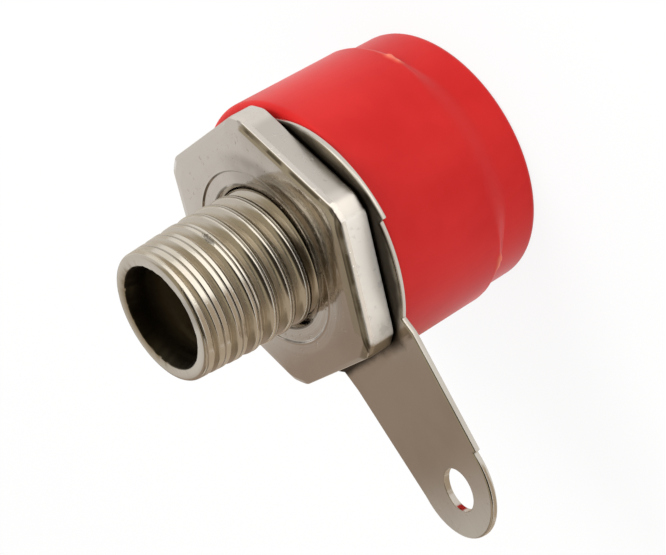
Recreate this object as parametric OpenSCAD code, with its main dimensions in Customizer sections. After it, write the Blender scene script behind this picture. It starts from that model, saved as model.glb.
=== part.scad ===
// Panel socket for a 4 mm banana plug, standing on the front face of its insulating head.
// The threaded barrel points up along +Z, and the solder tag points along -X.
// The origin is the centre of the head's front face, where the plug goes in.

/* [Insulating head] */
// Outside diameter of the head
head_d = 12.0; // [10.5:0.1:14]
// Length of the head along the axis
head_len = 8.0; // [6.5:0.1:12]
// Diameter of the narrower rim at the front of the head
rim_d = 11.5; // [9.5:0.1:11.9]
// Length of the narrower rim
rim_len = 2.3; // [1:0.1:3.5]
// Rounding of the rear edge
rear_round = 0.3; // [0.2:0.05:1]
// Rounding of the front edge
front_round = 0.3; // [0.1:0.05:0.6]
// Rounding of the shoulder where the rim begins
shoulder_round = 0.15; // [0.05:0.05:0.2]
// Diameter of the plug entry at the front face
entry_d = 6.6; // [5.6:0.1:8]
// Depth of plastic in front of the barrel
entry_depth = 1.0; // [0.6:0.1:1.6]

/* [Threaded barrel] */
// Outside diameter of the thread
thread_d = 6.0; // [5.6:0.1:6.6]
// Bore for the plug
bore_d = 4.1; // [4:0.05:4.4]
// Chamfer at both ends of the bore
bore_chamfer = 0.2; // [0.1:0.05:0.3]
// Length of barrel behind the head
barrel_reach = 7.25; // [5:0.25:14]
// Length of the tapered lead-in at the free end
lead_len = 3.0; // [0.5:0.1:3]
// Diameter of the thread at the free end
lead_d = 5.6; // [5.4:0.05:5.6]
// Chamfer round the free end
end_chamfer = 0.15; // [0.05:0.05:0.2]
// Diameter of the collar that is moulded into the head
collar_d = 8.0; // [7:0.1:9]
// Width across the two flats that stop the collar turning
collar_flats = 7.0; // [6.7:0.1:7]
// Length of the collar
collar_len = 2.0; // [1:0.1:3]
// Distance from the barrel's front end to the collar
collar_setback = 1.8; // [0.8:0.1:2]

/* [Hex nut] */
// Width across the flats
nut_af = 11.0; // [10:0.1:12]
// Thickness
nut_t = 1.6; // [1.4:0.1:2.5]
// Diameter to which the corners are turned down
nut_corner_d = 12.3; // [12.1:0.1:12.3]
// Width of the shallow bevel along the edges of both faces
nut_bevel = 0.3; // [0.1:0.05:0.4]
// Height of that bevel on the flats
nut_bevel_h = 0.12; // [0.05:0.01:0.2]
// Radial running clearance on the thread
nut_clearance = 0.05; // [0.03:0.01:0.08]
// Width of the countersunk margin round the thread
nut_sink = 0.8; // [0.4:0.1:1.2]
// Depth of the countersink
nut_sink_depth = 0.1; // [0.05:0.05:0.3]
// Angle at which the nut is tightened
nut_angle = 17.5; // [0:0.5:60]

/* [Solder tag] */
// Sheet thickness
tag_t = 0.3; // [0.25:0.05:0.5]
// Outside radius of the ring's two rounded sides
tag_ring_r = 5.62; // [5.3:0.01:5.9]
// Distance from the barrel's axis to the centres of those sides, across the tab
tag_ring_spread = 0.83; // [0.4:0.01:1]
// Distance by which the ring's outline is off centre, towards the tab
tag_ring_shift = 0.74; // [0.2:0.01:1]
// Outside diameter of the neck, which is centred on the barrel and carries the tab
tag_neck_d = 12.7; // [12.4:0.05:12.8]
// Distance from the barrel's axis to the step where the ring changes to the neck
tag_neck_x = 2.4; // [1.6:0.1:3.2]
// Radial clearance of the ring on the thread
tag_clearance = 0.3; // [0.1:0.05:0.5]
// Width of the tab where it leaves the ring
tab_root_w = 6.1; // [4.5:0.1:7]
// Width of the tab at the start of its round end
tab_end_w = 5.2; // [4:0.1:6]
// Step from the tab's straight side to its round end, on the -Y side only
tab_shoulder = 0.2; // [0.05:0.05:0.3]
// Gap in plan from the turned corners of the nut to the bend of the tab
bend_gap = 0.05; // [0.05:0.05:1]
// Angle at which the tab is cranked away from the panel
bend_angle = 7; // [1:1:45]
// Inside radius of the bend
bend_r = 0.5; // [0.3:0.1:1]
// Length of the straight sides from the bend to the step
tab_len = 5.2; // [3:0.05:12]
// Distance from the step to the centre of the round end
tab_end_set = 0.25; // [0.05:0.05:0.5]
// Wire hole
wire_hole_d = 1.9; // [1:0.1:2.4]
// Distance of the wire hole beyond the step
wire_hole_set = 0.7; // [0.2:0.05:1]

/* [Hidden] */
$fn = 96;

// Fine overrun for clean cuts
over = 0.5;

head_r = head_d / 2;
rim_r = rim_d / 2;
thread_r = thread_d / 2;
bore_r = bore_d / 2;
bore_edge_r = bore_r + bore_chamfer;

// Heights of the stack above the front face
barrel_front_z = entry_depth;
collar_z = barrel_front_z + collar_setback;
tag_z = head_len;
nut_z = tag_z + tag_t;
barrel_end_z = head_len + barrel_reach;
lead_z = barrel_end_z - lead_len;

// Nut
nut_bore_r = thread_r + nut_clearance;
nut_corner_r = nut_corner_d / 2;
nut_point_r = nut_af / 2 / cos(30);
nut_bevel_point_r = (nut_af / 2 - nut_bevel) / cos(30);

// Tag: distances along the tab are measured from the barrel's axis
tag_hole_r = thread_r + tag_clearance;
bend_x = nut_corner_r + bend_gap;
tab_end_r = (tab_end_w - tab_shoulder) / 2;
bend_out_r = bend_r + tag_t;

// Half of the head's section, revolved: a main part and a narrower front rim, with rounded edges
module head_section() {
    main_z = rim_len;
    translate([0, main_z]) square([head_r - shoulder_round, head_len - main_z]);
    translate([0, main_z + shoulder_round]) square([head_r, head_len - main_z - shoulder_round - rear_round]);
    translate([0, main_z]) square([head_r - rear_round, head_len - main_z]);
    translate([head_r - rear_round, head_len - rear_round]) circle(rear_round);
    translate([head_r - shoulder_round, main_z + shoulder_round]) circle(shoulder_round);
    translate([0, front_round]) square([rim_r, main_z - front_round]);
    square([rim_r - front_round, main_z]);
    translate([rim_r - front_round, front_round]) circle(front_round);
}

// Countersunk plug entry in front of the barrel
module plug_entry() {
    cylinder(h = entry_depth, r1 = entry_d / 2, r2 = bore_edge_r);
}

// Outside of the barrel, which the head is moulded round
module barrel_outside() {
    translate([0, 0, barrel_front_z]) cylinder(h = lead_z - barrel_front_z, r = thread_r);
    translate([0, 0, lead_z]) cylinder(h = lead_len - end_chamfer, r1 = thread_r, r2 = lead_d / 2);
    translate([0, 0, barrel_end_z - end_chamfer])
        cylinder(h = end_chamfer, r1 = lead_d / 2, r2 = lead_d / 2 - end_chamfer);
    intersection() {
        translate([0, 0, collar_z]) cylinder(h = collar_len, d = collar_d);
        translate([-collar_d, -collar_flats / 2, collar_z]) cube([2 * collar_d, collar_flats, collar_len]);
    }
}

module insulating_head() {
    color("crimson")
    difference() {
        rotate_extrude() head_section();
        plug_entry();
        barrel_outside();
    }
}

module threaded_barrel() {
    color("silver")
    difference() {
        barrel_outside();
        translate([0, 0, barrel_front_z - over]) cylinder(h = barrel_end_z - barrel_front_z + 2 * over, r = bore_r);
        translate([0, 0, barrel_front_z]) cylinder(h = bore_chamfer, r1 = bore_edge_r, r2 = bore_r);
        translate([0, 0, barrel_end_z - bore_chamfer]) cylinder(h = bore_chamfer, r1 = bore_r, r2 = bore_edge_r);
    }
}

// Hexagonal blank with a straight bevel along the edges of both faces
module hex_blank() {
    cylinder(h = nut_bevel_h, r1 = nut_bevel_point_r, r2 = nut_point_r, $fn = 6);
    translate([0, 0, nut_bevel_h]) cylinder(h = nut_t - 2 * nut_bevel_h, r = nut_point_r, $fn = 6);
    translate([0, 0, nut_t - nut_bevel_h])
        cylinder(h = nut_bevel_h, r1 = nut_point_r, r2 = nut_bevel_point_r, $fn = 6);
}

module hex_nut() {
    color("silver")
    translate([0, 0, nut_z])
    difference() {
        rotate([0, 0, nut_angle]) intersection() {
            hex_blank();
            cylinder(h = nut_t, r = nut_corner_r);
        }
        translate([0, 0, -over]) cylinder(h = nut_t + 2 * over, r = nut_bore_r);
        cylinder(h = nut_sink_depth, r1 = nut_bore_r + nut_sink, r2 = nut_bore_r);
        translate([0, 0, nut_t - nut_sink_depth])
            cylinder(h = nut_sink_depth, r1 = nut_bore_r, r2 = nut_bore_r + nut_sink);
    }
}

// Outline of the ring before its neck is cut: two rounded sides with straight lines between them
module tag_ring_blank() {
    translate([-tag_ring_shift, 0]) {
        for (side = [-1, 1]) translate([0, side * tag_ring_spread]) circle(tag_ring_r);
        square([2 * tag_ring_r, 2 * tag_ring_spread], center = true);
    }
}

// Ring of the tag, its narrower neck and the root of its tab, flat under the nut
module tag_ring_outline() {
    difference() {
        union() {
            intersection() {
                tag_ring_blank();
                translate([-tag_neck_x, -2 * tag_ring_r]) square(4 * tag_ring_r);
            }
            intersection() {
                circle(d = tag_neck_d);
                translate([-bend_x, -tag_neck_d / 2]) square([bend_x - tag_neck_x, tag_neck_d]);
            }
            translate([-bend_x, -tab_root_w / 2]) square([bend_x, tab_root_w]);
        }
        circle(tag_hole_r);
    }
}

// Tab beyond the bend, from its bend line outwards along -X
module tab_outline() {
    difference() {
        union() {
            polygon([
                [0, -tab_root_w / 2], [0, tab_root_w / 2],
                [-tab_len, tab_end_w / 2], [-tab_len, -tab_end_w / 2]
            ]);
            translate([-tab_len - tab_end_set, tab_shoulder / 2]) {
                translate([0, -tab_end_r]) square([tab_end_set, 2 * tab_end_r]);
                circle(tab_end_r);
            }
        }
        translate([-tab_len - wire_hole_set, 0]) circle(d = wire_hole_d);
    }
}

// Sector of sheet that joins the ring to the cranked tab
module tab_bend() {
    rotate([90, 0, 0])
    rotate([0, 0, 270 - bend_angle])
    rotate_extrude(angle = bend_angle)
    translate([bend_r, -tab_root_w / 2]) square([tag_t, tab_root_w]);
}

module solder_tag() {
    color("silver")
    translate([0, 0, tag_z]) {
        linear_extrude(tag_t) tag_ring_outline();
        translate([-bend_x, 0, bend_out_r]) {
            tab_bend();
            rotate([0, bend_angle, 0]) translate([0, 0, -bend_out_r]) linear_extrude(tag_t) tab_outline();
        }
    }
}

insulating_head();
threaded_barrel();
hex_nut();
solder_tag();
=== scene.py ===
import math

import bmesh
import bpy
from mathutils import Matrix, Vector, geometry, noise


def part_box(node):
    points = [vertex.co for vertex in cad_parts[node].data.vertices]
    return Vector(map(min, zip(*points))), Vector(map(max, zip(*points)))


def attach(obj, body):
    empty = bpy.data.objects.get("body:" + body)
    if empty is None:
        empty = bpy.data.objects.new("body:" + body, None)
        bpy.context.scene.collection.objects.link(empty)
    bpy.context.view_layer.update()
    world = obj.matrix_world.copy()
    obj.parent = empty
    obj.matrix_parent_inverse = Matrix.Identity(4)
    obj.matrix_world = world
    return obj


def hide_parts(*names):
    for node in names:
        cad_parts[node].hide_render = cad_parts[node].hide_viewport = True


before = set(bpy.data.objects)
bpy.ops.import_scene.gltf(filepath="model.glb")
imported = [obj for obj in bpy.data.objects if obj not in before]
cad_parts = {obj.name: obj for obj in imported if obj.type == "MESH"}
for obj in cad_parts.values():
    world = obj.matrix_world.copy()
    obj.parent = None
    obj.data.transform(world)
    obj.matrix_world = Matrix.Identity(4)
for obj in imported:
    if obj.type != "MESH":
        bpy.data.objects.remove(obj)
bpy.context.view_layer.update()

mm = 0.001
turn = 2 * math.pi
white = (1, 1, 1, 1)
scene = bpy.context.scene
scene.view_settings.view_transform = "Standard"


# sockets with arithmetic, and one way to add any other node

class Wire:
    def __init__(self, graph, socket):
        self.graph = graph
        self.socket = socket

    def __add__(self, other):
        return self.graph.math("ADD", self, other)

    def __radd__(self, other):
        return self.graph.math("ADD", other, self)

    def __sub__(self, other):
        return self.graph.math("SUBTRACT", self, other)

    def __rsub__(self, other):
        return self.graph.math("SUBTRACT", other, self)

    def __mul__(self, other):
        return self.graph.math("MULTIPLY", self, other)

    def __rmul__(self, other):
        return self.graph.math("MULTIPLY", other, self)

    def __truediv__(self, other):
        return self.graph.math("DIVIDE", self, other)

    def __rtruediv__(self, other):
        return self.graph.math("DIVIDE", other, self)


class Graph:
    def __init__(self, tree):
        self.tree = tree

    def node(self, kind, settings=None, sockets=None, out=0):
        made = self.tree.nodes.new(kind)
        for name, value in (settings or {}).items():
            setattr(made, name, value)
        for key, value in (sockets or {}).items():
            if isinstance(value, Wire):
                self.tree.links.new(value.socket, made.inputs[key])
            else:
                made.inputs[key].default_value = value
        return Wire(self, made.outputs[out]) if len(made.outputs) else made

    def math(self, operation, *values):
        return self.node("ShaderNodeMath", {"operation": operation}, dict(enumerate(values)))

    def vector(self, operation, *values, out=0):
        return self.node("ShaderNodeVectorMath", {"operation": operation}, dict(enumerate(values)), out)

    def dot(self, vector, direction):
        return self.vector("DOT_PRODUCT", vector, tuple(direction), out=1)

    def clamp(self, value, low=0.0, high=1.0):
        return self.node("ShaderNodeClamp", None, {0: value, 1: low, 2: high})

    def mixColour(self, share, first, second):
        return self.node("ShaderNodeMix", {"data_type": "RGBA"}, {0: share, 6: first, 7: second}, 2)

    def smoothStep(self, value, low, high):
        return self.node("ShaderNodeMapRange", {"interpolation_type": "SMOOTHSTEP"},
                         {"Value": value, "From Min": low, "From Max": high})

    def span(self, value, limits):
        # a smooth step between two limits in millimetres
        return self.smoothStep(value, limits[0] * mm, limits[1] * mm)

    def rays(self, *names):
        node = self.node("ShaderNodeLightPath").socket.node
        return [Wire(self, node.outputs[name]) for name in names]

    def split(self, vector):
        node = self.node("ShaderNodeSeparateXYZ", None, {0: vector}).socket.node
        return [Wire(self, socket) for socket in node.outputs]


# curves in plain numbers

def ease(share):
    share = min(max(share, 0.0), 1.0)
    return share * share * (3 - 2 * share)


def signedDegrees(angle):
    return (angle + 180) % 360 - 180


def waves(angle, octaves):
    # smooth noise that closes round the axis; each octave has a size, a scale and a seed
    total = 0.0
    for size, scale, seed in octaves:
        total += size * noise.noise(Vector((math.cos(angle) * scale, math.sin(angle) * scale, seed)))
    return total


# meshes, with these distances in metres

meshing = {
    "weld": 2e-7,        # points closer than this become one
    "sliver": 1e-8,      # and edges shorter than this go
    "threadWeld": 5e-7,
    "sameHeight": 1e-6,
    "onAxis": 1e-9,
}


def meshObject(name, mesh):
    made = bpy.data.objects.new(name, mesh)
    scene.collection.objects.link(made)
    return made


def ringFaces(build, rings, loop=False):
    # quads between neighbouring rings of equal length; loop joins the last ring to the first
    rows = [[build.verts.new(point) for point in ring] for ring in rings]
    pairs = list(zip(rows, rows[1:]))
    if loop:
        pairs.append((rows[-1], rows[0]))
    for low, high in pairs:
        for i in range(len(low)):
            j = (i + 1) % len(low)
            build.faces.new((low[i], low[j], high[j], high[i]))


def finishMesh(name, build, material, sharpAngle):
    bmesh.ops.remove_doubles(build, verts=build.verts, dist=meshing["weld"])
    bmesh.ops.dissolve_degenerate(build, edges=build.edges, dist=meshing["sliver"])
    bmesh.ops.recalc_face_normals(build, faces=build.faces)
    openEdges = sum(1 for edge in build.edges if not edge.is_manifold)
    triangles = sum(len(face.verts) - 2 for face in build.faces)
    mesh = bpy.data.meshes.new(name)
    build.to_mesh(mesh)
    build.free()
    mesh.materials.clear()
    mesh.materials.append(material)
    for polygon in mesh.polygons:
        polygon.use_smooth = True
    mesh.set_sharp_from_angle(angle=math.radians(sharpAngle))
    print(f"{name}: {triangles} triangles, {openEdges} open edges")
    return meshObject(name, mesh)


def circleRing(radius, height, around):
    # radius is a number, or a function of the angle
    ring = []
    for i in range(around):
        angle = turn * i / around
        r = radius(angle) if callable(radius) else radius
        ring.append(Vector((r * math.cos(angle), r * math.sin(angle), height)) * mm)
    return ring


def arcSteps(centre, radius, start, end, steps):
    # points along an arc from one angle to another, in degrees
    points = []
    for i in range(steps + 1):
        angle = math.radians(start + (end - start) * i / steps)
        points.append((centre[0] + radius * math.cos(angle), centre[1] + radius * math.sin(angle)))
    return points


def arcPoints(centre, radius, start, end, spacing):
    # the same by the distance between points, without the last one
    count = max(2, math.ceil(abs(math.radians(end - start)) * radius / spacing))
    return arcSteps(centre, radius, start, end, count)[:-1]


def linePoints(start, end, spacing):
    count = max(1, math.ceil(math.dist(start, end) / spacing))
    return [(start[0] + (end[0] - start[0]) * i / count, start[1] + (end[1] - start[1]) * i / count)
            for i in range(count)]


def softSection(points, radius, steps=4, longest=0.4, beside=0.2):
    # rounds a section line's inner corners, over a share of each arm at most
    # a point beside each rounding, by a share of its reach, keeps its shading there
    soft = [points[0]]
    for before, corner, after in zip(points, points[1:], points[2:]):
        here = Vector(corner)
        arms = [Vector(before) - here, Vector(after) - here]
        reach = [min(radius, arm.length * longest) for arm in arms]
        start = here + arms[0].normalized() * reach[0]
        end = here + arms[1].normalized() * reach[1]
        soft.append(tuple(start + arms[0].normalized() * reach[0] * beside))
        for i in range(steps + 1):
            t = i / steps
            soft.append(tuple(start * (1 - t) ** 2 + here * 2 * t * (1 - t) + end * t ** 2))
        soft.append(tuple(end + arms[1].normalized() * reach[1] * beside))
    return soft + [points[-1]]


# finishes

plastic = {
    "colour": (0.64, 0.022, 0.020, 1),
    "deepColour": (0.57, 0.014, 0.013, 1),
    # painted highlight on the raised parting seam
    "flashHighlightColour": (0.80, 0.20, 0.13, 1),
    "cloudScale": 260.0,
    "cloudSpread": (0.35, 0.7),
    "grainScale": 5200.0,
    "grainDepth": 0.25,     # beside the ripple's 1
    "rippleScale": 420.0,
    "roughness": 0.34,
    "roughnessSpread": 0.10,
    "specular": 0.12,
    "bumpStrength": 0.10,
    "bumpHeight": 0.04,
}

nickel = {
    "colour": (0.62, 0.578, 0.520, 1),
    "dullColour": (0.53, 0.485, 0.425, 1),
    "cloudScale": 330.0,
    "cloudSpread": (0.4, 0.75),
    "cloudShare": 0.6,
    "streakScale": 2600.0,
    "streakDepth": 0.35,
    "pitScale": 3800.0,
    "pitSpread": (0.62, 0.75),
    "pitDarker": 0.35,
    "pitDuller": 0.2,
    "pitDepth": 1.2,
    "waveScale": 700.0,
    "roughness": 0.17,
    "roughnessSpread": 0.10,
    "bumpStrength": 0.18,
    "bumpHeight": 0.03,
}


def blankGraph(owner):
    owner.use_nodes = True
    owner.node_tree.nodes.clear()
    return Graph(owner.node_tree)


def startMaterial(name):
    material = bpy.data.materials.new(name)
    graph = blankGraph(material)
    place = graph.node("ShaderNodeTexCoord", None, None, 3)  # Object
    return material, graph, place


def endMaterial(graph, sockets):
    shader = graph.node("ShaderNodeBsdfPrincipled", None, sockets)
    graph.node("ShaderNodeOutputMaterial", None, {"Surface": shader})


def noiseOf(graph, place, scale, detail=2.0, roughness=0.5):
    return graph.node("ShaderNodeTexNoise", None,
                      {"Vector": place, "Scale": scale, "Detail": detail, "Roughness": roughness})


def bumpOf(graph, finish, height):
    return graph.node("ShaderNodeBump", None, {
        "Strength": finish["bumpStrength"], "Distance": finish["bumpHeight"] * mm, "Height": height})


def redPlastic():
    p = plastic
    material, graph, place = startMaterial("redPolyamide")
    cloud = noiseOf(graph, place, p["cloudScale"], detail=3.0)
    grain = noiseOf(graph, place, p["grainScale"])
    ripple = noiseOf(graph, place, p["rippleScale"], detail=1.0)
    flash = graph.node("ShaderNodeAttribute", {"attribute_name": "flash"}, None, 2)
    base = graph.mixColour(graph.smoothStep(cloud, *p["cloudSpread"]), p["colour"], p["deepColour"])
    endMaterial(graph, {
        # the raised seam's paler colour is a painted highlight on its edge
        "Base Color": graph.mixColour(flash, base, p["flashHighlightColour"]),
        "Roughness": p["roughness"] + (cloud - 0.5) * p["roughnessSpread"],
        "Specular IOR Level": p["specular"],
        "Normal": bumpOf(graph, p, grain * p["grainDepth"] + ripple),
    })
    return material


def platedMetal(name, piece, shade):
    # shade is a function that adds one piece's own wear and painted shade: colour, roughness, metallic
    # share and relief
    n = nickel
    material, graph, place = startMaterial(name)
    cloud = noiseOf(graph, place, n["cloudScale"], detail=3.0)
    streaks = noiseOf(graph, graph.vector("MULTIPLY", place, piece["grainStretch"]), n["streakScale"])
    speckle = noiseOf(graph, place, n["pitScale"], detail=3.0, roughness=0.6)
    pits = graph.smoothStep(speckle, *n["pitSpread"]) * piece["pitAmount"]
    swell = noiseOf(graph, place, n["waveScale"], detail=1.0) * piece["waveAmount"]
    colour, dull = (tuple(a * b for a, b in zip(n[key], piece["tint"])) for key in ("colour", "dullColour"))
    worn = graph.smoothStep(cloud, *n["cloudSpread"]) * n["cloudShare"] + pits * n["pitDarker"]
    base = graph.mixColour(worn, colour, dull)
    rough = n["roughness"] + (streaks - 0.5) * n["roughnessSpread"] + pits * n["pitDuller"]
    base, rough, metallic, relief = shade(graph, place, base, rough)
    bump = bumpOf(graph, n, streaks * n["streakDepth"] + swell - pits * n["pitDepth"] + relief)
    endMaterial(graph, {"Base Color": base, "Metallic": metallic, "Roughness": rough, "Normal": bump})
    return material


def fromAxis(graph, x, y):
    return graph.math("SQRT", x * x + y * y)


def towards(degrees, x, y):
    # distance from the axis along one direction
    angle = math.radians(degrees)
    return x * math.cos(angle) + y * math.sin(angle)


def hexDistance(graph, x, y):
    # distance from the axis across the nut's flats
    widest = None
    for i in range(3):
        across = graph.math("ABSOLUTE", towards(nut["cornerAngle"] + 30 + 60 * i, x, y))
        widest = across if widest is None else graph.math("MAXIMUM", widest, across)
    return widest


# thread, shared by the barrel and the nut

thread = {
    "pitch": 0.84,
    "depth": 0.35,
    "crestRadius": 3.0,
    "crestHalf": 0.02,      # half the width of the crest's flat
    "crestRound": 0.29,     # radius of the roundings that run from it into the flanks
    "flankAngle": 52.0,
    "runOut": 0.30,         # length at the free end over which the grooves begin
    "runOutLate": 0.15,     # share of it next to the end that has no groove
    "leadBlend": 0.05,      # rounding where the lead-in cuts the flanks
    "chamferBlend": 0.10,   # and where the end's chamfer does
    "seamHalf": 0.05,       # the fold that rolling leaves along the middle of the crest
    "seamDepth": 0.03,
    "phase": 0.032,         # share of a pitch by which the crests lie lower
    "stepsPerTurn": 48,     # rows of faces for each pitch
}


def threadTree(name, values, inner):
    # a grid whose rows climb with the helix, so that each row keeps its place on the thread's profile
    tree = bpy.data.node_groups.new(name, "GeometryNodeTree")
    sockets = {}
    for label, value in values.items():
        kind = "NodeSocketInt" if isinstance(value, int) else "NodeSocketFloat"
        sockets[label] = tree.interface.new_socket(label, in_out="INPUT", socket_type=kind).identifier
    sockets["Material"] = tree.interface.new_socket(
        "Material", in_out="INPUT", socket_type="NodeSocketMaterial").identifier
    tree.interface.new_socket("Geometry", in_out="OUTPUT", socket_type="NodeSocketGeometry")
    graph = Graph(tree)
    entry = graph.node("NodeGroupInput").socket.node
    given = {label: Wire(graph, entry.outputs[label]) for label in sockets}
    grid = graph.node("GeometryNodeMeshGrid", None, {
        "Size X": 1.0, "Size Y": 1.0, "Vertices X": given["Around"] + 1, "Vertices Y": given["Rows"]})
    x, y, _ = graph.split(graph.node("GeometryNodeInputPosition"))
    share = x + 0.5
    climb = given["Pitch"] * share
    length = (given["Rows"] - 1) / given["Rows Per Turn"] * given["Pitch"]
    height = given["Low"] - given["Pitch"] + (y + 0.5) * length + climb
    height = graph.clamp(height, given["Low"], given["High"])
    phase = graph.math("FRACT", (height - climb) / given["Pitch"] + given["Phase"])
    fromCrest = graph.math("ABSOLUTE", phase - 0.5) * given["Pitch"]
    beyond = graph.math("MAXIMUM", fromCrest - given["Crest Half"], 0.0)
    bend = given["Crest Round"]
    onBend = graph.math("MINIMUM", beyond, bend * graph.math("SINE", given["Flank Angle"]))
    drop = bend - graph.math("SQRT", bend * bend - onBend * onBend)
    drop = drop + (beyond - onBend) * graph.math("TANGENT", given["Flank Angle"])
    drop = graph.math("MINIMUM", drop, given["Depth"])
    toHigh = given["High"] - height
    if inner:
        # countersinks at both faces widen the nut's thread
        nearest = graph.math("MINIMUM", toHigh, height - given["Low"])
        sink = given["End Radius"] - nearest * given["End Slope"]
        radius = graph.math("MAXIMUM", given["Crest Radius"] - drop, sink)
    else:
        # the barrel's grooves run out, its blank tapers to the free end, and the end has a chamfer
        drop = drop * graph.clamp(toHigh / given["Run Out"] - given["Run Out Late"])
        lead = given["Lead Radius"] + toHigh * given["Lead Slope"]
        radius = graph.math("SMOOTH_MIN", given["Crest Radius"] - drop, lead, given["Lead Blend"])
        fromSeam = graph.clamp(fromCrest / given["Seam Half"])
        radius = radius - (1 - fromSeam * fromSeam * (3 - 2 * fromSeam)) * given["Seam Depth"]
        chamfer = given["End Radius"] + toHigh * given["End Slope"]
        radius = graph.math("SMOOTH_MIN", radius, chamfer, given["Chamfer Blend"])
    angle = share * turn
    spot = graph.node("ShaderNodeCombineXYZ", None, {
        0: radius * graph.math("COSINE", angle), 1: radius * graph.math("SINE", angle), 2: height})
    shaped = graph.node("GeometryNodeSetPosition", None, {"Geometry": grid, "Position": spot})
    welded = graph.node("GeometryNodeMergeByDistance", None,
                        {"Geometry": shaped, "Distance": meshing["threadWeld"]})
    real = graph.node("GeometryNodeRealizeInstances", None, {0: welded})
    dressed = graph.node("GeometryNodeSetMaterial", None, {"Geometry": real, "Material": given["Material"]})
    graph.node("NodeGroupOutput", None, {0: dressed})
    return tree, sockets


def threadSleeve(name, material, around, low, high, clearance, end, lead=None):
    # end and lead are cones, as radius and slope; only the barrel has a lead-in
    t = thread
    values = {
        "Around": around,
        "Rows": math.ceil(((high - low) / t["pitch"] + 1) * t["stepsPerTurn"]) + 1,
        "Rows Per Turn": float(t["stepsPerTurn"]),
        "Low": low * mm,
        "High": high * mm,
        "Pitch": t["pitch"] * mm,
        "Depth": t["depth"] * mm,
        "Crest Radius": (t["crestRadius"] + clearance) * mm,
        "Crest Half": t["crestHalf"] * mm,
        "Crest Round": t["crestRound"] * mm,
        "Flank Angle": math.radians(t["flankAngle"]),
        "Phase": t["phase"],
        "End Radius": end[0] * mm,
        "End Slope": end[1],
    }
    if lead:
        values.update({
            "Lead Radius": lead[0] * mm,
            "Lead Slope": lead[1],
            "Lead Blend": t["leadBlend"] * mm,
            "Chamfer Blend": t["chamferBlend"] * mm,
            "Run Out": t["runOut"] * mm,
            "Run Out Late": t["runOutLate"],
            "Seam Half": t["seamHalf"] * mm,
            "Seam Depth": t["seamDepth"] * mm,
        })
    tree, sockets = threadTree(name, values, lead is None)
    holder = meshObject(name, bpy.data.meshes.new(name))
    modifier = holder.modifiers.new("thread", "NODES")
    modifier.node_group = tree
    for label, value in values.items():
        modifier[sockets[label]] = value
    modifier[sockets["Material"]] = material
    depsgraph = bpy.context.evaluated_depsgraph_get()
    mesh = bpy.data.meshes.new_from_object(holder.evaluated_get(depsgraph))
    holder.modifiers.clear()
    bpy.data.objects.remove(holder)
    build = bmesh.new()
    build.from_mesh(mesh)
    bpy.data.meshes.remove(mesh)
    return build


def openRing(build, height):
    # the sleeve's open end at this height, in order round the axis
    def angleOf(vert):
        if abs(vert.co.y) <= meshing["onAxis"] and vert.co.x >= 0:
            return 0.0
        return math.atan2(vert.co.y, vert.co.x) % turn

    ends = [v for v in build.verts
            if v.is_boundary and abs(v.co.z - height * mm) < meshing["sameHeight"]]
    return [v.co.copy() for v in sorted(ends, key=angleOf)]


# barrel

barrel = {
    "around": 192,
    "threadStart": 7.7,     # inside the head
    "shankDrop": 0.05,      # from there down to the plain shank
    "leadDrop": 0.20,       # radius lost along the lead-in
    "leadLength": 3.0,
    "endChamfer": 0.05,
    "endSlope": 1.0,
    "endRing": 0.10,        # how far inside its edge the end face has a ring
    "boreRadius": 2.05,
    "boreSteps": 12,
    "mouthRadius": 2.26,
    "mouthDepth": 0.7,
    "mouthRagged": 0.035,
    "mouthWaves": ((1.0, 7.0, 3.7), (0.8, 19.0, 5.2)),
    # share of the raggedness, distance outwards and depth of each ring in the mouth
    "mouthRings": ((0, -0.04, 0.13), (1, -0.012, 0.06), (1, 0.0, 0.02), (1, 0.04, 0.0)),
    "frontHeight": 1.0,
    "frontMouth": 2.25,
    "frontDepth": 0.2,
    "frontEdge": 0.04,
    "collar": (2.8, 4.8),
    "collarRadius": 4.0,
    "collarFlats": 3.5,
    "sharpAngle": 75,
    "tint": (0.98, 0.97, 0.93, 1),
    "grainStretch": (0.4, 0.4, 2.5),
    "pitAmount": 0.5,
    "waveAmount": 0.7,
    "boreEdge": (2.31, 2.26),            # radii between which the bore's dull finish and painted shade begin
    # the bore's colours: partly its dull unplated metal, partly painted shade that is nearly black at the
    # mouth
    "boreColour": (0.42, 0.36, 0.26, 1),
    "boreDuller": 0.30,
    "mouthShadeHeights": (13.5, 14.5),        # over which the bore gets darker as painted shade
    "mouthShadeColour": (0.048, 0.040, 0.026, 1),
    "nick": (-66.5, 2.9, 12.93, 0.45),   # a dark dent in one crest: angle, radius, height and half length
    "nickNarrow": (1, 1, 2.6),
    "nickScale": 5500.0,
    "nickRagged": 2.4,
    "nickSpread": (0.9, 0.6),
    "nickAndFoldColour": (0.10, 0.085, 0.065, 1),
    "nickDirt": 0.75,
    "nickDepth": 2.0,
    "seamSpread": (0.9, 0.3),            # shares of the fold's half width
    "seamDarker": 0.35,
    "grooveShadeColour": (0.59, 0.525, 0.425, 1),   # painted shade in the grooves
    "grooveDuller": 0.16,
    "grooveSpread": (0.25, 0.36),        # distances from the crest
    "grooveRadii": (2.86, 2.78),
}


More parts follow.
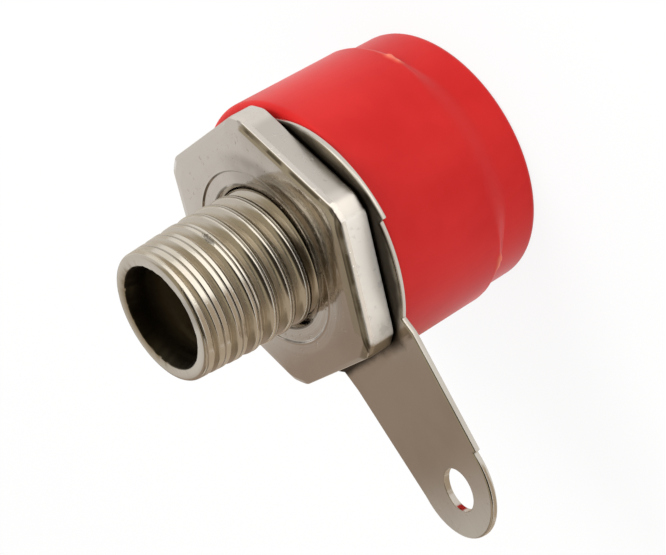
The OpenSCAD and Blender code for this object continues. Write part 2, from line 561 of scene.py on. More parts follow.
def barrelShade(graph, place, base, rough):
    # a dull bore with painted shade that is nearly black at its mouth, painted shade in the grooves, a
    # darker fold and one nick
    b = barrel
    x, y, z = graph.split(place)
    radius = fromAxis(graph, x, y)
    inside = graph.span(radius, b["boreEdge"])
    # painted shade in the bore, nearly black towards its mouth
    dark = graph.mixColour(graph.span(z, b["mouthShadeHeights"]), b["boreColour"], b["mouthShadeColour"])
    angle, nickRadius, height, half = b["nick"]
    angle = math.radians(angle)
    middle = Vector((nickRadius * math.cos(angle), nickRadius * math.sin(angle), height)) * mm
    offset = graph.vector("MULTIPLY", graph.vector("SUBTRACT", place, tuple(middle)), b["nickNarrow"])
    away = graph.vector("LENGTH", offset, out=1) / (half * mm)
    ragged = noiseOf(graph, place, b["nickScale"], detail=3.0, roughness=0.7) - 0.5
    nick = graph.smoothStep(away + ragged * b["nickRagged"], *b["nickSpread"])
    climb = graph.math("ARCTAN2", y, x) / turn
    phase = graph.math("FRACT", z / (thread["pitch"] * mm) - climb + thread["phase"])
    fromCrest = graph.math("ABSOLUTE", phase - 0.5) * thread["pitch"]
    fold = graph.smoothStep(fromCrest, *(thread["seamHalf"] * share for share in b["seamSpread"]))
    # painted shade in the thread's grooves
    groove = graph.smoothStep(fromCrest, *b["grooveSpread"]) * graph.span(radius, b["grooveRadii"])
    base = graph.mixColour(groove, base, b["grooveShadeColour"])
    # darker at the nick, which is wear, and along the fold in the crest
    nickAndFold = graph.math("MAXIMUM", nick * b["nickDirt"], fold * b["seamDarker"])
    base = graph.mixColour(nickAndFold, base, b["nickAndFoldColour"])
    rough = rough + inside * b["boreDuller"] + groove * b["grooveDuller"]
    return graph.mixColour(inside, base, dark), rough, 1.0, nick * -b["nickDepth"]


def collarEdge(angle, gap=0.0):
    # a round collar with two flats
    across = max(abs(math.sin(angle)), 1e-6)
    return min(barrel["collarRadius"] + gap, (barrel["collarFlats"] + gap) / across)


def mouthEdge(share, outwards):
    # the bore's torn edge, as a radius for each angle
    radius = barrel["mouthRadius"] + outwards
    ragged = share * barrel["mouthRagged"]
    return lambda angle: radius + ragged * waves(angle, barrel["mouthWaves"])


def makeBarrel():
    b = barrel
    around, start = b["around"], b["threadStart"]
    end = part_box("threaded_barrel")[1].z / mm
    metal = platedMetal("nickelBarrel", b, barrelShade)
    crest = thread["crestRadius"]
    leadRadius = crest - b["leadDrop"]
    endRadius = leadRadius - b["endChamfer"]
    build = threadSleeve("barrelThread", metal, around, start, end, 0.0, (endRadius, b["endSlope"]),
                         (leadRadius, b["leadDrop"] / b["leadLength"]))
    lowRing = openRing(build, start)
    highRing = openRing(build, end)
    low, high = b["collar"]
    front, edge = b["frontHeight"], b["frontEdge"]
    section = [(crest, start - b["shankDrop"]), (crest, high), (collarEdge, high), (collarEdge, low),
               (crest, low), (crest, front + edge), (crest - edge, front), (b["frontMouth"], front)]
    bottom = front + b["frontDepth"]
    depth = end - b["mouthDepth"] - bottom
    steps = b["boreSteps"]
    section += [(b["boreRadius"], bottom + depth * i / steps) for i in range(steps + 1)]
    section += [(mouthEdge(share, outwards), end - below) for share, outwards, below in b["mouthRings"]]
    section.append((endRadius - b["endRing"], end))
    rings = [lowRing] + [circleRing(r, z, around) for r, z in section] + [highRing]
    ringFaces(build, rings)
    return finishMesh("turnedBarrel", build, metal, b["sharpAngle"])


# nut

nut = {
    "around": 432,
    "acrossFlats": 11.0,
    "cornerRadius": 6.12,
    "cornerInset": 1.3,     # how much faster than the flats the turned corners come in
    "cornerSoft": 0.07,
    "cornerAngle": 17.5,
    "bevel": 0.60,          # where the faces begin to fall, inwards from the flats
    "rearEdge": ((0.29, 0.01), (0.03, 0.035), (0.0, 0.085)),   # distance inwards and fall, to the flats
    "frontEdge": ((0.24, 0.09), (0.035, 0.21), (0.0, 0.46)),
    "narrowFlat": -72.5,    # the flat along which the front edge is sheared sharper
    "narrowShare": 0.35,
    "narrowSpan": (25, 45),   # degrees from its middle over which the full width comes back
    "edgeRound": 0.04,
    "clearance": 0.05,
    "mouthRadius": 3.22,    # chamfer of the thread in the recess
    "mouthSlope": 1.0,
    "recessRadius": 3.86,   # shallow recess round the thread, with a thin raised edge
    "recessDepth": 0.07,
    "recessWall": (0.04, 0.01),   # width of its wall, and rise of its floor to there
    "recessRound": 0.02,
    "burrWidth": 0.09,
    "burrRise": 0.015,
    "burrFoot": 0.5,        # shares of that rise and width where the raised edge starts and is highest
    "burrTop": 0.4,
    "crown": 0.03,          # drop of each face from the recess to its bevel
    "slopeInset": 0.9,      # the point that gives a face its slope at the bevel, inwards from the flats
    "slopeShare": 0.7,      # and its share of that drop
    "roundRing": 4.3,       # radius of the last round ring
    "faceSteps": 6,         # from there to the bevel's first six-sided ring
    "sharpAngle": 40,
    "tint": (1.02, 1.02, 1.03, 1),
    "grainStretch": (1, 1, 1),
    "pitAmount": 1.0,
    "waveAmount": 1.4,
    "outerRadii": (4.4, 4.6),       # from the turned middle of the faces to their outer part
    "turnedScale": 5200.0,
    "turnedDepth": 0.9,
    "turnedLess": 0.6,
    "faceSmoother": 0.075,
    "topHeights": (9.58, 9.64),     # the front face and the upper part of its bevel
    "sideTop": (9.46, 9.38),        # heights between which the sides begin and end
    "sideBottom": (8.33, 8.37),
    "sideColour": (0.50, 0.465, 0.42, 1),
    "sideDuller": 0.12,
    "cornerRadii": (5.85, 6.00),    # where the sides give way to bright corners
    "partedAngle": 47.5,    # two opposite flats are left as parted from the strip: matt and pale
    "partedSpan": (5.40, 5.49),
    "partedColour": (0.97, 0.93, 0.86, 1),
    "partedDuller": 0.12,
    "partedMatt": 0.55,
    "scratchScale": 2100.0,
    "scratchSpread": (0.56, 0.66),
    "scratchDarker": 0.3,
    "scratchDepth": 0.8,
    "patchScale": 900.0,
    "patchSpread": (0.36, 0.52),
    # colour of the painted dark reflections and painted shade on the nut's face
    "paintedDarkColour": (0.12, 0.10, 0.075, 1),
    # painted dark reflection along the front edges: direction of the flat, distances from the axis,
    # darkness, and how patchy it is
    "edgeReflectionLines": (
        (-72.5, 5.40, 5.44, 0.85, 1.0),
        (-132.5, 5.24, 5.27, 0.5, 0.5),
        (-132.5, 5.24, 5.60, 0.70, 0.3),
        (-132.5, 5.36, 5.42, 0.85, 0.8),
    ),
    "edgeReflectionSoft": 0.04,
    # painted shade in rings at the recess edge and at the thread's mouth
    "shadedRings": ((3.85, 0.05), (3.24, 0.07)),   # radius and half width
    "shadedRingSolid": 0.3,   # share of that half width
    "shadedRingShare": 0.8,
    "reflectionAngle": -88.0,   # painted dark reflection of the thread on the face beside it
    "reflectionSpread": (0.30, 0.90),
    "reflectionRadii": (4.9, 4.4),
    "reflectionPatchy": 0.3,
    "reflectionShare": 0.42,
}


def nutShade(graph, place, base, rough):
    # turned faces, duller sides, two parted flats, painted dark reflections along the edges and beside the
    # thread, and painted shade in rings round it
    n = nut
    x, y, z = graph.split(place)
    radius = fromAxis(graph, x, y)
    outer = graph.span(radius, n["outerRadii"])
    side = graph.span(z, n["sideTop"]) * graph.span(z, n["sideBottom"]) * outer
    corner = graph.span(radius, n["cornerRadii"])
    base = graph.mixColour(side * (1 - corner), base, n["sideColour"])
    parted = graph.span(graph.math("ABSOLUTE", towards(n["partedAngle"], x, y)), n["partedSpan"])
    scratches = noiseOf(graph, place, n["scratchScale"], detail=3.0, roughness=0.6)
    scratches = graph.smoothStep(scratches, *n["scratchSpread"])
    base = graph.mixColour(parted * (1 - scratches * n["scratchDarker"]), base, n["partedColour"])
    patchy = graph.smoothStep(noiseOf(graph, place, n["patchScale"]), *n["patchSpread"])
    top = graph.span(z, n["topHeights"])
    # painted dark reflections in the front bevel along two flats
    for flat, near, far, share, patches in n["edgeReflectionLines"]:
        across = towards(flat, x, y)
        line = graph.span(across, (near - n["edgeReflectionSoft"], near))
        line = line * graph.span(across, (far + n["edgeReflectionSoft"], far)) * top
        base = graph.mixColour(line * (patchy * patches + (1 - patches)) * share, base, n["paintedDarkColour"])
    # painted shade in rings at the recess edge and the thread's mouth
    for middle, width in n["shadedRings"]:
        away = graph.math("ABSOLUTE", radius - middle * mm)
        ring = graph.span(away, (width, width * n["shadedRingSolid"])) * patchy
        base = graph.mixColour(ring * n["shadedRingShare"], base, n["paintedDarkColour"])
    # painted dark reflection of the thread on the face beside it
    facing = towards(n["reflectionAngle"], x, y) / radius
    paintedReflection = graph.smoothStep(facing, *n["reflectionSpread"]) * graph.span(radius, n["reflectionRadii"]) * top
    paintedReflection = paintedReflection * (patchy * n["reflectionPatchy"] + (1 - n["reflectionPatchy"]))
    base = graph.mixColour(paintedReflection * n["reflectionShare"], base, n["paintedDarkColour"])
    outwards = graph.node("ShaderNodeCombineXYZ", None, {0: radius})
    rings = noiseOf(graph, outwards, n["turnedScale"], detail=3.0)
    relief = rings * (1 - outer * n["turnedLess"]) * (1 - side) * n["turnedDepth"]
    relief = relief - parted * scratches * n["scratchDepth"]
    rough = rough + side * n["sideDuller"] + parted * n["partedDuller"] - (1 - side) * n["faceSmoother"]
    return base, rough, 1 - parted * n["partedMatt"], relief


def hexRadius(angle, inset):
    # six flats whose corners run smoothly into the turned-down circle
    step = math.radians(60)
    away = (angle - math.radians(nut["cornerAngle"])) % step - step / 2
    flat = (nut["acrossFlats"] / 2 - inset) / math.cos(away)
    turned = nut["cornerRadius"] - inset * nut["cornerInset"]
    soft = nut["cornerSoft"]
    gap = max(soft - abs(flat - turned), 0) / soft
    return min(flat, turned) - gap * gap * soft / 4


def narrowing(angle):
    # how much of the front edge's width is left at this angle
    away = abs(signedDegrees(math.degrees(angle) - nut["narrowFlat"]))
    near, far = nut["narrowSpan"]
    return nut["narrowShare"] + (1 - nut["narrowShare"]) * ease((away - near) / (far - near))


def nutHalf(face, sign, half, edge):
    # rings from the thread's mouth over one face and down to the middle of the sides
    n = nut
    around, burr = n["around"], n["burrRise"]
    inner, bevelDepth = burr + n["recessDepth"], burr + n["crown"]
    recess, width = n["recessRadius"], n["burrWidth"]
    wall, rise = n["recessWall"]
    # round rings as radius and depth, then six-sided ones as inset and depth
    roundPart = [(n["mouthRadius"], inner), (recess - wall, inner - rise), (recess, burr * n["burrFoot"]),
                 (recess + width * n["burrTop"], 0.0), (recess + width, burr), (n["roundRing"], burr)]
    roundPart = softSection(roundPart, n["recessRound"])[1:]
    sidePart = [(n["slopeInset"], burr + n["crown"] * n["slopeShare"]), (n["bevel"], bevelDepth)]
    sidePart += [(inset, bevelDepth + fall) for inset, fall in edge] + [(0.0, half)]
    sidePart = softSection(sidePart, n["edgeRound"])[1:]
    share = narrowing if sign > 0 else lambda angle: 1.0
    rings = [circleRing(r, face - sign * depth, around) for r, depth in roundPart]
    start = roundPart[-1][0]
    hexInset, hexDepth = sidePart[0]
    for i in range(1, n["faceSteps"]):
        part = i / n["faceSteps"]
        between = lambda angle: start + (hexRadius(angle, hexInset * share(angle)) - start) * part
        rings.append(circleRing(between, face - sign * (burr + (hexDepth - burr) * part ** 2), around))
    for inset, depth in sidePart:
        outline = lambda angle: hexRadius(angle, inset * share(angle))
        rings.append(circleRing(outline, face - sign * depth, around))
    return rings


def makeNut():
    n = nut
    low, high = (corner.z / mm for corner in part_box("hex_nut"))
    half = (high - low) / 2
    metal = platedMetal("nickelNut", n, nutShade)
    inner = n["burrRise"] + n["recessDepth"]
    build = threadSleeve("nutThread", metal, n["around"], low + inner, high - inner, n["clearance"],
                         (n["mouthRadius"], n["mouthSlope"]))
    lowRing = openRing(build, low + inner)
    highRing = openRing(build, high - inner)
    bottom = nutHalf(low, -1, half, n["rearEdge"])
    top = nutHalf(high, 1, half, n["frontEdge"])
    ringFaces(build, [lowRing] + bottom + list(reversed(top))[1:] + [highRing])
    return finishMesh("hexNut", build, metal, n["sharpAngle"])


# tag

tag = {
    "thickness": 0.3,
    "spacing": 0.12,        # between the points of its outline
    "wireSpacing": 0.06,
    "ringRadius": 5.615,    # of its two rounded sides
    "ringSpread": 0.83,     # their centres, across the tab
    "ringShift": 0.74,      # and along it
    "neckRadius": 6.345,
    "neckFar": 6.10,        # on the +Y side, where the photograph shows none of it beyond the nut
    "neckX": 2.4,           # where the ring steps to the neck
    "holeRadius": 3.3,
    "bendX": 6.2,
    "bendRadius": 0.5,
    "bendAngle": 7.0,
    "rootHalf": 3.05,       # half widths of the tab
    "endHalf": 2.6,
    "sideLength": 5.2,
    "shoulder": 0.2,        # step to the round end, on the -Y side
    "endSet": 0.25,
    "wireRadius": 0.925,
    "wireSet": 0.70,
    "edgeRound": 0.11,
    "holeRound": 0.03,
    "edgeArm": 0.2,         # the roundings take up 0.4 of this at most on the flat faces
    "sharpAngle": 40,
    "tint": (0.96, 0.95, 0.93, 1),
    "grainStretch": (0.25, 3.0, 1.0),
    "pitAmount": 0.35,
    "waveAmount": 1.4,
    "nutShadowColour": (0.060, 0.050, 0.038, 1),   # painted shadow of the nut on the tag's top, spreading out from under it
    "nutShadowReach": (0.15, 0.78),
    "nutShadowDeeper": 0.35,    # further reach beside the neck
    "nutShadowLess": 0.22,      # and less on the root of the tab
    "nutShadowDuller": 0.2,
    "nutShadowScale": 1500.0,
    "nutShadowRagged": 0.3,
    "neckSpans": ((-1.0, -2.6), (-6.0, -5.0)),   # along X
    "tabSpan": (-4.9, -5.6),
    "topHeights": (8.15, 8.25),
}


def tagShade(graph, place, base, rough):
    # painted shadow of the nut on the tag's top: ragged, reaching further beside the neck and less on the
    # tab's root
    t = tag
    x, y, z = graph.split(place)
    near, far = (nut["acrossFlats"] / 2 + reach for reach in t["nutShadowReach"])
    ragged = (noiseOf(graph, place, t["nutShadowScale"]) - 0.5) * (t["nutShadowRagged"] * mm)
    deeper = graph.span(x, t["neckSpans"][0]) * graph.span(x, t["neckSpans"][1])
    onTab = graph.span(x, t["tabSpan"])
    further = (deeper * t["nutShadowDeeper"] - onTab * t["nutShadowLess"]) * mm
    nutShadow = graph.span(hexDistance(graph, x, y) + ragged - further, (far, near))
    nutShadow = nutShadow * graph.span(z, t["topHeights"])
    return graph.mixColour(nutShadow, base, t["nutShadowColour"]), rough + nutShadow * t["nutShadowDuller"], 1.0, 0.0


def neckSide(radius):
    # on the +Y side: Y at the step, X at the tab's root, and the angles of both
    step, root = -tag["neckX"], tag["rootHalf"]
    stepY = math.sqrt(radius ** 2 - step ** 2)
    rootX = -math.sqrt(radius ** 2 - root ** 2)
    return stepY, rootX, math.degrees(math.atan2(stepY, step)), math.degrees(math.atan2(root, rootX))


def tagOutline():
    # counter-clockwise from the step on the ring's -Y side, round the ring, and down the tab and back
    t = tag
    fine = t["spacing"]
    shift, ring, spread, step = -t["ringShift"], t["ringRadius"], t["ringSpread"], -t["neckX"]
    root, half, shoulder = t["rootHalf"], t["endHalf"], t["shoulder"]
    ringReach = math.sqrt(ring ** 2 - (step - shift) ** 2)
    ringY = spread + ringReach
    ringStart = math.degrees(math.atan2(-ringReach, step - shift))
    neckY, rootX, neckStart, neckEnd = neckSide(t["neckRadius"])
    farY, farRootX, farStart, farEnd = neckSide(t["neckFar"])
    bend = -t["bendX"]
    tabStart = bend - math.radians(t["bendAngle"]) * (t["bendRadius"] + t["thickness"] / 2)
    sideEnd = tabStart - t["sideLength"]
    endX = sideEnd - t["endSet"]
    points = arcPoints((shift, -spread), ring, ringStart, 0, fine)
    points += linePoints((shift + ring, -spread), (shift + ring, spread), fine)
    points += arcPoints((shift, spread), ring, 0, -ringStart, fine)
    points += linePoints((step, ringY), (step, farY), fine)
    points += arcPoints((0, 0), t["neckFar"], farStart, farEnd, fine)
    points += linePoints((farRootX, root), (bend, root), fine)
    points += [(bend, root)]
    points += linePoints((tabStart, root), (sideEnd, half), fine)
    points += linePoints((sideEnd, half), (endX, half), fine)
    points += arcPoints((endX, shoulder / 2), half - shoulder / 2, 90, 270, fine)
    points += linePoints((endX, shoulder - half), (sideEnd, shoulder - half), fine)
    points += linePoints((sideEnd, shoulder - half), (sideEnd, -half), fine)
    points += linePoints((sideEnd, -half), (tabStart, -root), fine)
    points += [(tabStart, -root)]
    points += linePoints((bend, -root), (rootX, -root), fine)
    points += arcPoints((0, 0), t["neckRadius"], -neckEnd, -neckStart, fine)
    points += linePoints((step, -neckY), (step, -ringY), fine)
    return points, (bend, tabStart), (sideEnd - t["wireSet"], 0.0)


def insetLoop(points, distance, leastCosine=0.5):
    # moves each point of a counter-clockwise loop to its left, and no more than twice as far at a corner
    moved = []
    for i, point in enumerate(points):
        here = Vector(point)
        first = (here - Vector(points[i - 1])).normalized()
        second = (Vector(points[(i + 1) % len(points)]) - here).normalized()
        along = (first + second).normalized()
        normal = Vector((-along.y, along.x))
        stretch = 1 / max(normal.dot(Vector((-first.y, first.x))), leastCosine)
        moved.append(tuple(here + normal * distance * stretch))
    return moved


def insideLoop(point, loop):
    inside = False
    for i, (x, y) in enumerate(loop):
        px, py = loop[i - 1]
        if (y > point[1]) != (py > point[1]) and point[0] < (px - x) * (point[1] - y) / (py - y) + x:
            inside = not inside
    return inside


def bendPoint(x, y, z, low, lines):
    # carries a point of the flat blank round the bend; z is the height in the sheet
    bend, tabStart = lines
    if x >= bend:
        return Vector((x, y, low + z)) * mm
    outer = tag["bendRadius"] + tag["thickness"]
    along = bend - x
    arc = bend - tabStart
    angle = math.radians(tag["bendAngle"]) * min(along / arc, 1.0)
    radius = outer - z
    rest = max(along - arc, 0.0)
    px = bend - radius * math.sin(angle) - rest * math.cos(angle)
    pz = low + outer - radius * math.cos(angle) + rest * math.sin(angle)
    return Vector((px, y, pz)) * mm


def makeTag():
    t = tag
    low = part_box("solder_tag")[0].z / mm
    thick = t["thickness"]
    metal = platedMetal("nickelTag", t, tagShade)
    outline, lines, wireCentre = tagOutline()
    loops = [outline,
             arcPoints((0, 0), t["holeRadius"], 0, -360, t["spacing"]),
             arcPoints(wireCentre, t["wireRadius"], 0, -360, t["wireSpacing"])]
    square = [(t["edgeArm"], 0.0), (0.0, 0.0), (0.0, thick), (t["edgeArm"], thick)]
    sections = [softSection(square, t[key])[1:-1] for key in ("edgeRound", "holeRound", "holeRound")]
    build = bmesh.new()
    for loop, section in zip(loops, sections):
        rings = []
        for inset, z in section:
            rings.append([bendPoint(x, y, z, low, lines) for x, y in insetLoop(loop, inset)])
        ringFaces(build, rings)
    # flat faces: triangles between the inset loops, kept to the bend lines
    same = 1e-9
    flat = []
    edges = []
    insets = [insetLoop(loop, section[0][0]) for loop, section in zip(loops, sections)]
    for inset in insets:
        first = len(flat)
        flat += inset
        edges += [(first + i, first + (i + 1) % len(inset)) for i in range(len(inset))]
    for line in lines:
        edges.append(tuple(i for i, point in enumerate(outline) if abs(point[0] - line) < same))
    result = geometry.delaunay_2d_cdt([Vector(p) for p in flat], edges, [], 0, same)
    spots, faces = result[0], result[2]
    for z, flip in ((0.0, True), (thick, False)):
        verts = [build.verts.new(bendPoint(p.x, p.y, z, low, lines)) for p in spots]
        for face in faces:
            centre = sum((spots[i] for i in face), Vector((0, 0))) / len(face)
            if not insideLoop(centre, insets[0]) or any(insideLoop(centre, hole) for hole in insets[1:]):
                continue
            order = list(reversed(face)) if flip else face
            build.faces.new([verts[i] for i in order])
    bmesh.ops.delete(build, geom=[v for v in build.verts if not v.link_faces], context="VERTS")
    return finishMesh("solderTag", build, metal, t["sharpAngle"])


# head

head = {
    "around": 360,
    "radius": 5.995,
    "rimRadius": 5.75,
    "rearRound": 0.3,
    "frontRound": 0.3,
    "shoulderMiddle": 2.2,   # height of the soft step from the rim to the body
    "shoulderLength": 0.48,
    "shoulderSofter": 1.7,   # how much longer it is where the seam is trimmed flush
    "shoulderFade": 25.0,    # degrees over which it gets longer
    "entryRadius": 3.3,
    "entryInner": 2.25,
    "entryEdge": (0.04, 0.02),
    "rearRing": 4.4,
    "barrelGap": 0.004,
    # rings on the front rounding, the rim, the step, the body and the rear rounding
    "steps": (8, 6, 40, 14, 12),
    "sharpAngle": 45,
    # angle, height and width in degrees of each nub of flash
    "flashNubs": ((-54, 0.13, 2.2), (-58.5, 0.07, 1.8), (-156.5, 0.13, 1.9), (-160.5, 0.08, 2.0)),
    "flashBare": (-152, -60),   # where the seam is trimmed flush
    "flashMiddle": 2.3,
    "flashWidth": 0.14,
    "flashSeam": 0.026,
    "flashEven": 0.35,       # share of the seam that doesn't vary
    "flashWaves": ((1.0, 9.0, 1.3), (0.6, 25.0, 8.1)),
    "flashFade": 6.0,        # degrees
    "flashHighlightHeight": 0.06,       # height at which its painted highlight has its full colour
    "flashInside": 0.2,      # nothing further in than this from the rim is raised
}


def shoulderRadius(angle, z):
    h = head
    start, end = h["flashBare"]
    degrees = signedDegrees(math.degrees(angle))
    softer = h["shoulderSofter"] * ease(min(degrees - start, end - degrees) / h["shoulderFade"])
    share = ease((z - h["shoulderMiddle"]) / (h["shoulderLength"] * (1 + softer)) + 0.5)
    return h["rimRadius"] + (h["radius"] - h["rimRadius"]) * share


def flashHeight(x, y, z):
    # the moulding's parting seam at the step, as height above the surface
    h = head
    if math.hypot(x, y) <= h["rimRadius"] - h["flashInside"]:
        return 0.0
    angle = math.degrees(math.atan2(y, x))
    along = 0.0
    for middle, peak, width in h["flashNubs"]:
        along += peak * math.exp(-(signedDegrees(angle - middle) / width) ** 2)
    start, end = h["flashBare"]
    if not start < angle < end:
        varied = h["flashEven"] + (1 - h["flashEven"]) * waves(math.radians(angle), h["flashWaves"])
        fade = min(1.0, min(abs(angle - start), abs(angle - end)) / h["flashFade"])
        along += h["flashSeam"] * max(varied, 0.0) * fade
    return along * math.exp(-((z - h["flashMiddle"]) / h["flashWidth"]) ** 2)


def makeHead():
    h = head
    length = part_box("insulating_head")[1].z / mm
    gap = h["barrelGap"]
    crest = thread["crestRadius"] + gap
    collar = lambda angle: collarEdge(angle, gap)
    collarLow, collarHigh = barrel["collar"][0] - gap, barrel["collar"][1] + gap
    front = barrel["frontHeight"] - gap
    rim, radius, entry = h["rimRadius"], h["radius"], h["entryRadius"]
    fr, rr = h["frontRound"], h["rearRound"]
    half = h["shoulderLength"] * (1 + h["shoulderSofter"]) / 2
    stepLow, stepHigh = h["shoulderMiddle"] - half, h["shoulderMiddle"] + half
    frontSteps, rimSteps, shoulderSteps, bodySteps, rearSteps = h["steps"]
    wider, deep = h["entryEdge"]
    section = [(entry, deep), (entry + wider, 0.0), (rim - fr, 0.0)]
    section += arcSteps((rim - fr, fr), fr, -90, 0, frontSteps)[1:]
    section += [(rim, fr + (stepLow - fr) * i / rimSteps) for i in range(1, rimSteps + 1)]
    for i in range(1, shoulderSteps + 1):
        z = stepLow + (stepHigh - stepLow) * i / shoulderSteps
        section.append((lambda angle, z=z: shoulderRadius(angle, z), z))
    body = length - rr - stepHigh
    section += [(radius, stepHigh + body * i / bodySteps) for i in range(1, bodySteps + 1)]
    section += arcSteps((radius - rr, length - rr), rr, 0, 90, rearSteps)[1:]
    section += [(h["rearRing"], length), (crest, length), (crest, collarHigh), (collar, collarHigh),
                (collar, collarLow), (crest, collarLow), (crest, front), (h["entryInner"], front)]
    rings = [circleRing(r, z, h["around"]) for r, z in section]
    for ring, (_, z) in zip(rings, section):
        for point in ring:
            stretch = 1 + flashHeight(point.x / mm, point.y / mm, z) * mm / math.hypot(point.x, point.y)
            point.x *= stretch
            point.y *= stretch
    build = bmesh.new()
    ringFaces(build, rings, loop=True)
    made = finishMesh("headMoulding", build, redPlastic(), h["sharpAngle"])
    # how far the seam stands up, which sets how strong its painted highlight is
    paint = made.data.attributes.new("flash", "FLOAT", "POINT")
    for vertex in made.data.vertices:
        paint.data[vertex.index].value = min(flashHeight(*(vertex.co / mm)) / h["flashHighlightHeight"], 1.0)
    return made


pieces = (
    (makeHead(), "socket", "insulating_head", "head_plastic"),
    (makeBarrel(), "socket", "threaded_barrel", "barrel_nickel"),
    (makeTag(), "tag", "solder_tag", "tag_nickel"),
    (makeNut(), "nut", "hex_nut", "nut_nickel"),
)
for piece, body, node, slotName in pieces:
    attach(piece, body)
    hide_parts(node)
print("pieces made")


# floor, light and camera

studio = {
    "floorSize": 4000.0,
    "floorColour": (0.93, 0.93, 0.93, 1),
    "floorWhite": 0.88,     # share of plain white in what camera, glossy and transmission rays see of it
    "fillColour": (0.80, 0.79, 0.78, 1),   # the tent's even light on dull surfaces
    "roomColour": (0.26, 0.21, 0.15, 1),   # what metal reflects: a brown room
    # and its sides: colour, direction, and the cosines between which each covers those before it
    "ceiling": ((0.455, 0.40, 0.295, 1), (0.2, -0.35, 0.9), (0.25, 0.80)),
    "darkSide": ((0.040, 0.034, 0.026, 1), (-0.55, -0.78, 0.25), (0.55, 0.85)),   # behind the camera
    "paleTent": ((0.79, 0.77, 0.75, 1), (0.70, 0.45, -0.55), (-0.02, 0.30)),
    "keyAim": (0, 0, 8),
    "keyDirection": (0.54, -0.36, 0.76),
    "keyDistance": 200.0,
    "keySize": 110.0,
    "keyPower": 0.20,
}

# cards that only reflections see: middle, half sides, colour, and where on each half side the fade begins
cards = {
    # the first brown card and the three brown sheets on the floor are painted shade: the object's shade on
    # the table, which only reflections see
    "tableShadowCard": ((-5.5, 13, 18), (7, 0, 0), (0, 0, 12), (0.40, 0.32, 0.262, 1), (0.3, 0.6)),
    "whiteCard": ((3.2, -16.5, 7.8), (13, 0, 1.8), (-2.5, 0, 6.0), (1.75, 1.73, 1.68, 1), (0.45, 0.90)),
    "whiteWing": ((19, -17, 8), (9, 0, 0), (0, 0, 3.5), (1.6, 1.58, 1.54, 1), (0.7, 0.8)),
    "whiteSheet": ((40, -18, 0.05), (24, 0, 0), (0, 22, 0), (1.1, 1.08, 1.05, 1), (0.7, 0.7)),
    "floorShadeLeft": ((-42, -10, 0.05), (21.5, 0, 0), (0, 20, 0), (0.58, 0.485, 0.38, 1), (0.93, 0.8)),
    "floorShadeFront": ((-32, -30, 0.06), (19, 0, 0), (0, 17, 0), (0.55, 0.46, 0.36, 1), (0.8, 0.8)),
    "floorShadeBack": ((-58, 63, 0.05), (60, 0, 0), (0, 60, 0), (0.60, 0.505, 0.405, 1), (0.85, 0.85)),
    "brownWall": ((-20, 6, 22), (0, 10, 0), (0, 0, 12), (0.56, 0.47, 0.37, 1), (0.7, 0.7)),
    "greyCloth": ((62, 63, 0.05), (60, 0, 0), (0, 60, 0), (0.72, 0.67, 0.60, 1), (0.85, 0.85)),
}


def makeSheet(name, corners):
    mesh = bpy.data.meshes.new(name)
    mesh.from_pydata(corners, [], [(0, 1, 2, 3)])
    return meshObject(name, mesh)


def endMixed(graph, share, first, second):
    both = graph.node("ShaderNodeMixShader", None, {0: share, 1: first, 2: second})
    graph.node("ShaderNodeOutputMaterial", None, {"Surface": both})


def makeFloor():
    half = studio["floorSize"] / 2 * mm
    floor = makeSheet("floor", [(-half, -half, 0), (half, -half, 0), (half, half, 0), (-half, half, 0)])
    material = bpy.data.materials.new("paleFloor")
    graph = blankGraph(material)
    diffuse = graph.node("ShaderNodeBsdfDiffuse", None, {"Color": studio["floorColour"]})
    plain = graph.node("ShaderNodeEmission", None, {"Color": white, "Strength": 1.0})
    camera, glossy, clear = graph.rays("Is Camera Ray", "Is Glossy Ray", "Is Transmission Ray")
    seen = graph.math("MAXIMUM", graph.math("MAXIMUM", camera, glossy), clear)
    endMixed(graph, seen * studio["floorWhite"], diffuse, plain)
    floor.data.materials.append(material)


def makeWorld():
    world = bpy.data.worlds.new("lightTent")
    scene.world = world
    graph = blankGraph(world)
    direction = graph.node("ShaderNodeTexCoord", None, None, 0)
    around = studio["roomColour"]
    for side in ("ceiling", "darkSide", "paleTent"):
        colour, middle, spread = studio[side]
        facing = graph.dot(direction, Vector(middle).normalized())
        around = graph.mixColour(graph.smoothStep(facing, *spread), around, colour)
    camera, dull = graph.rays("Is Camera Ray", "Is Diffuse Ray")
    seen = graph.mixColour(dull, around, studio["fillColour"])
    seen = graph.mixColour(camera, seen, white)
    light = graph.node("ShaderNodeBackground", None, {"Color": seen, "Strength": 1.0})
    graph.node("ShaderNodeOutputWorld", None, {"Surface": light})


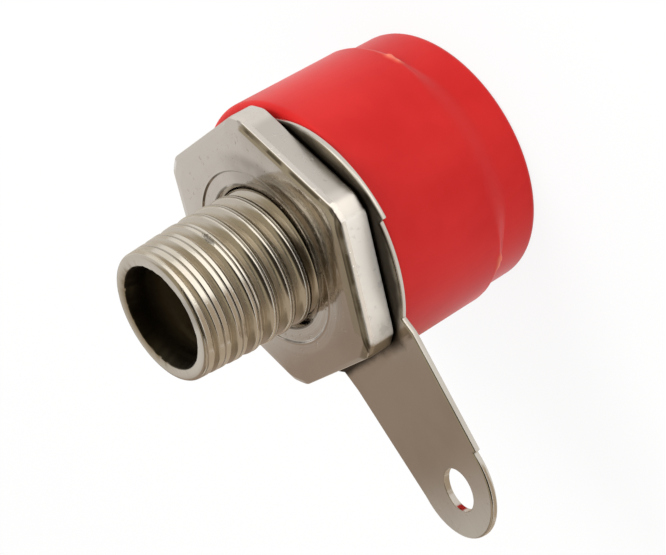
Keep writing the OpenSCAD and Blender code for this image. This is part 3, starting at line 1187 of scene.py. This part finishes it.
def makeKey():
    lamp = bpy.data.lights.new("keyLight", "AREA")
    lamp.shape = "DISK"
    lamp.size = studio["keySize"] * mm
    lamp.energy = studio["keyPower"]
    key = bpy.data.objects.new("keyLight", lamp)
    direction = Vector(studio["keyDirection"]).normalized()
    key.location = Vector(studio["keyAim"]) * mm + direction * studio["keyDistance"] * mm
    key.rotation_euler = direction.to_track_quat("Z", "Y").to_euler()
    key.visible_glossy = False  # the cards stand for it in reflections
    scene.collection.objects.link(key)


def makeCard(name, middle, across, up, colour, fade):
    middle, across, up = (Vector(part) * mm for part in (middle, across, up))
    corners = [middle - across - up, middle + across - up, middle + across + up, middle - across + up]
    card = makeSheet(name, corners)
    material, graph, place = startMaterial(name)
    offset = graph.vector("SUBTRACT", place, tuple(middle))
    share = 1.0
    for side, solid in ((across, fade[0]), (up, fade[1])):
        along = graph.dot(offset, side / side.length_squared)
        share = graph.smoothStep(graph.math("ABSOLUTE", along), 1.0, solid) * share
    glow = graph.node("ShaderNodeEmission", None, {"Color": colour, "Strength": 1.0})
    endMixed(graph, share, graph.node("ShaderNodeBsdfTransparent"), glow)
    card.data.materials.append(material)
    for ray in ("camera", "diffuse", "transmission", "shadow", "volume_scatter"):
        setattr(card, "visible_" + ray, False)


cameraView = {
    "place": (-16.035, -72.965, 51.484),
    "aim": (-2.262, -0.597, 8.182),
    "roll": 121.03,
    "lens": 114.42,
    "sensor": 36.0,
    "nearest": 5.0,
    "furthest": 20000.0,
}


def makeCamera():
    v = cameraView
    lens = bpy.data.cameras.new("camera")
    lens.lens = v["lens"]
    lens.sensor_fit = "HORIZONTAL"
    lens.sensor_width = v["sensor"]
    lens.clip_start = v["nearest"] * mm
    lens.clip_end = v["furthest"] * mm
    camera = bpy.data.objects.new("camera", lens)
    place = Vector(v["place"]) * mm
    look = (Vector(v["aim"]) * mm - place).to_track_quat("-Z", "Y").to_matrix().to_4x4()
    roll = Matrix.Rotation(-math.radians(v["roll"]), 4, "Z")
    camera.matrix_world = Matrix.Translation(place) @ look @ roll
    scene.collection.objects.link(camera)
    scene.camera = camera


makeFloor()
makeWorld()
makeKey()
for name, card in cards.items():
    makeCard(name, *card)
makeCamera()
print("stage ready")
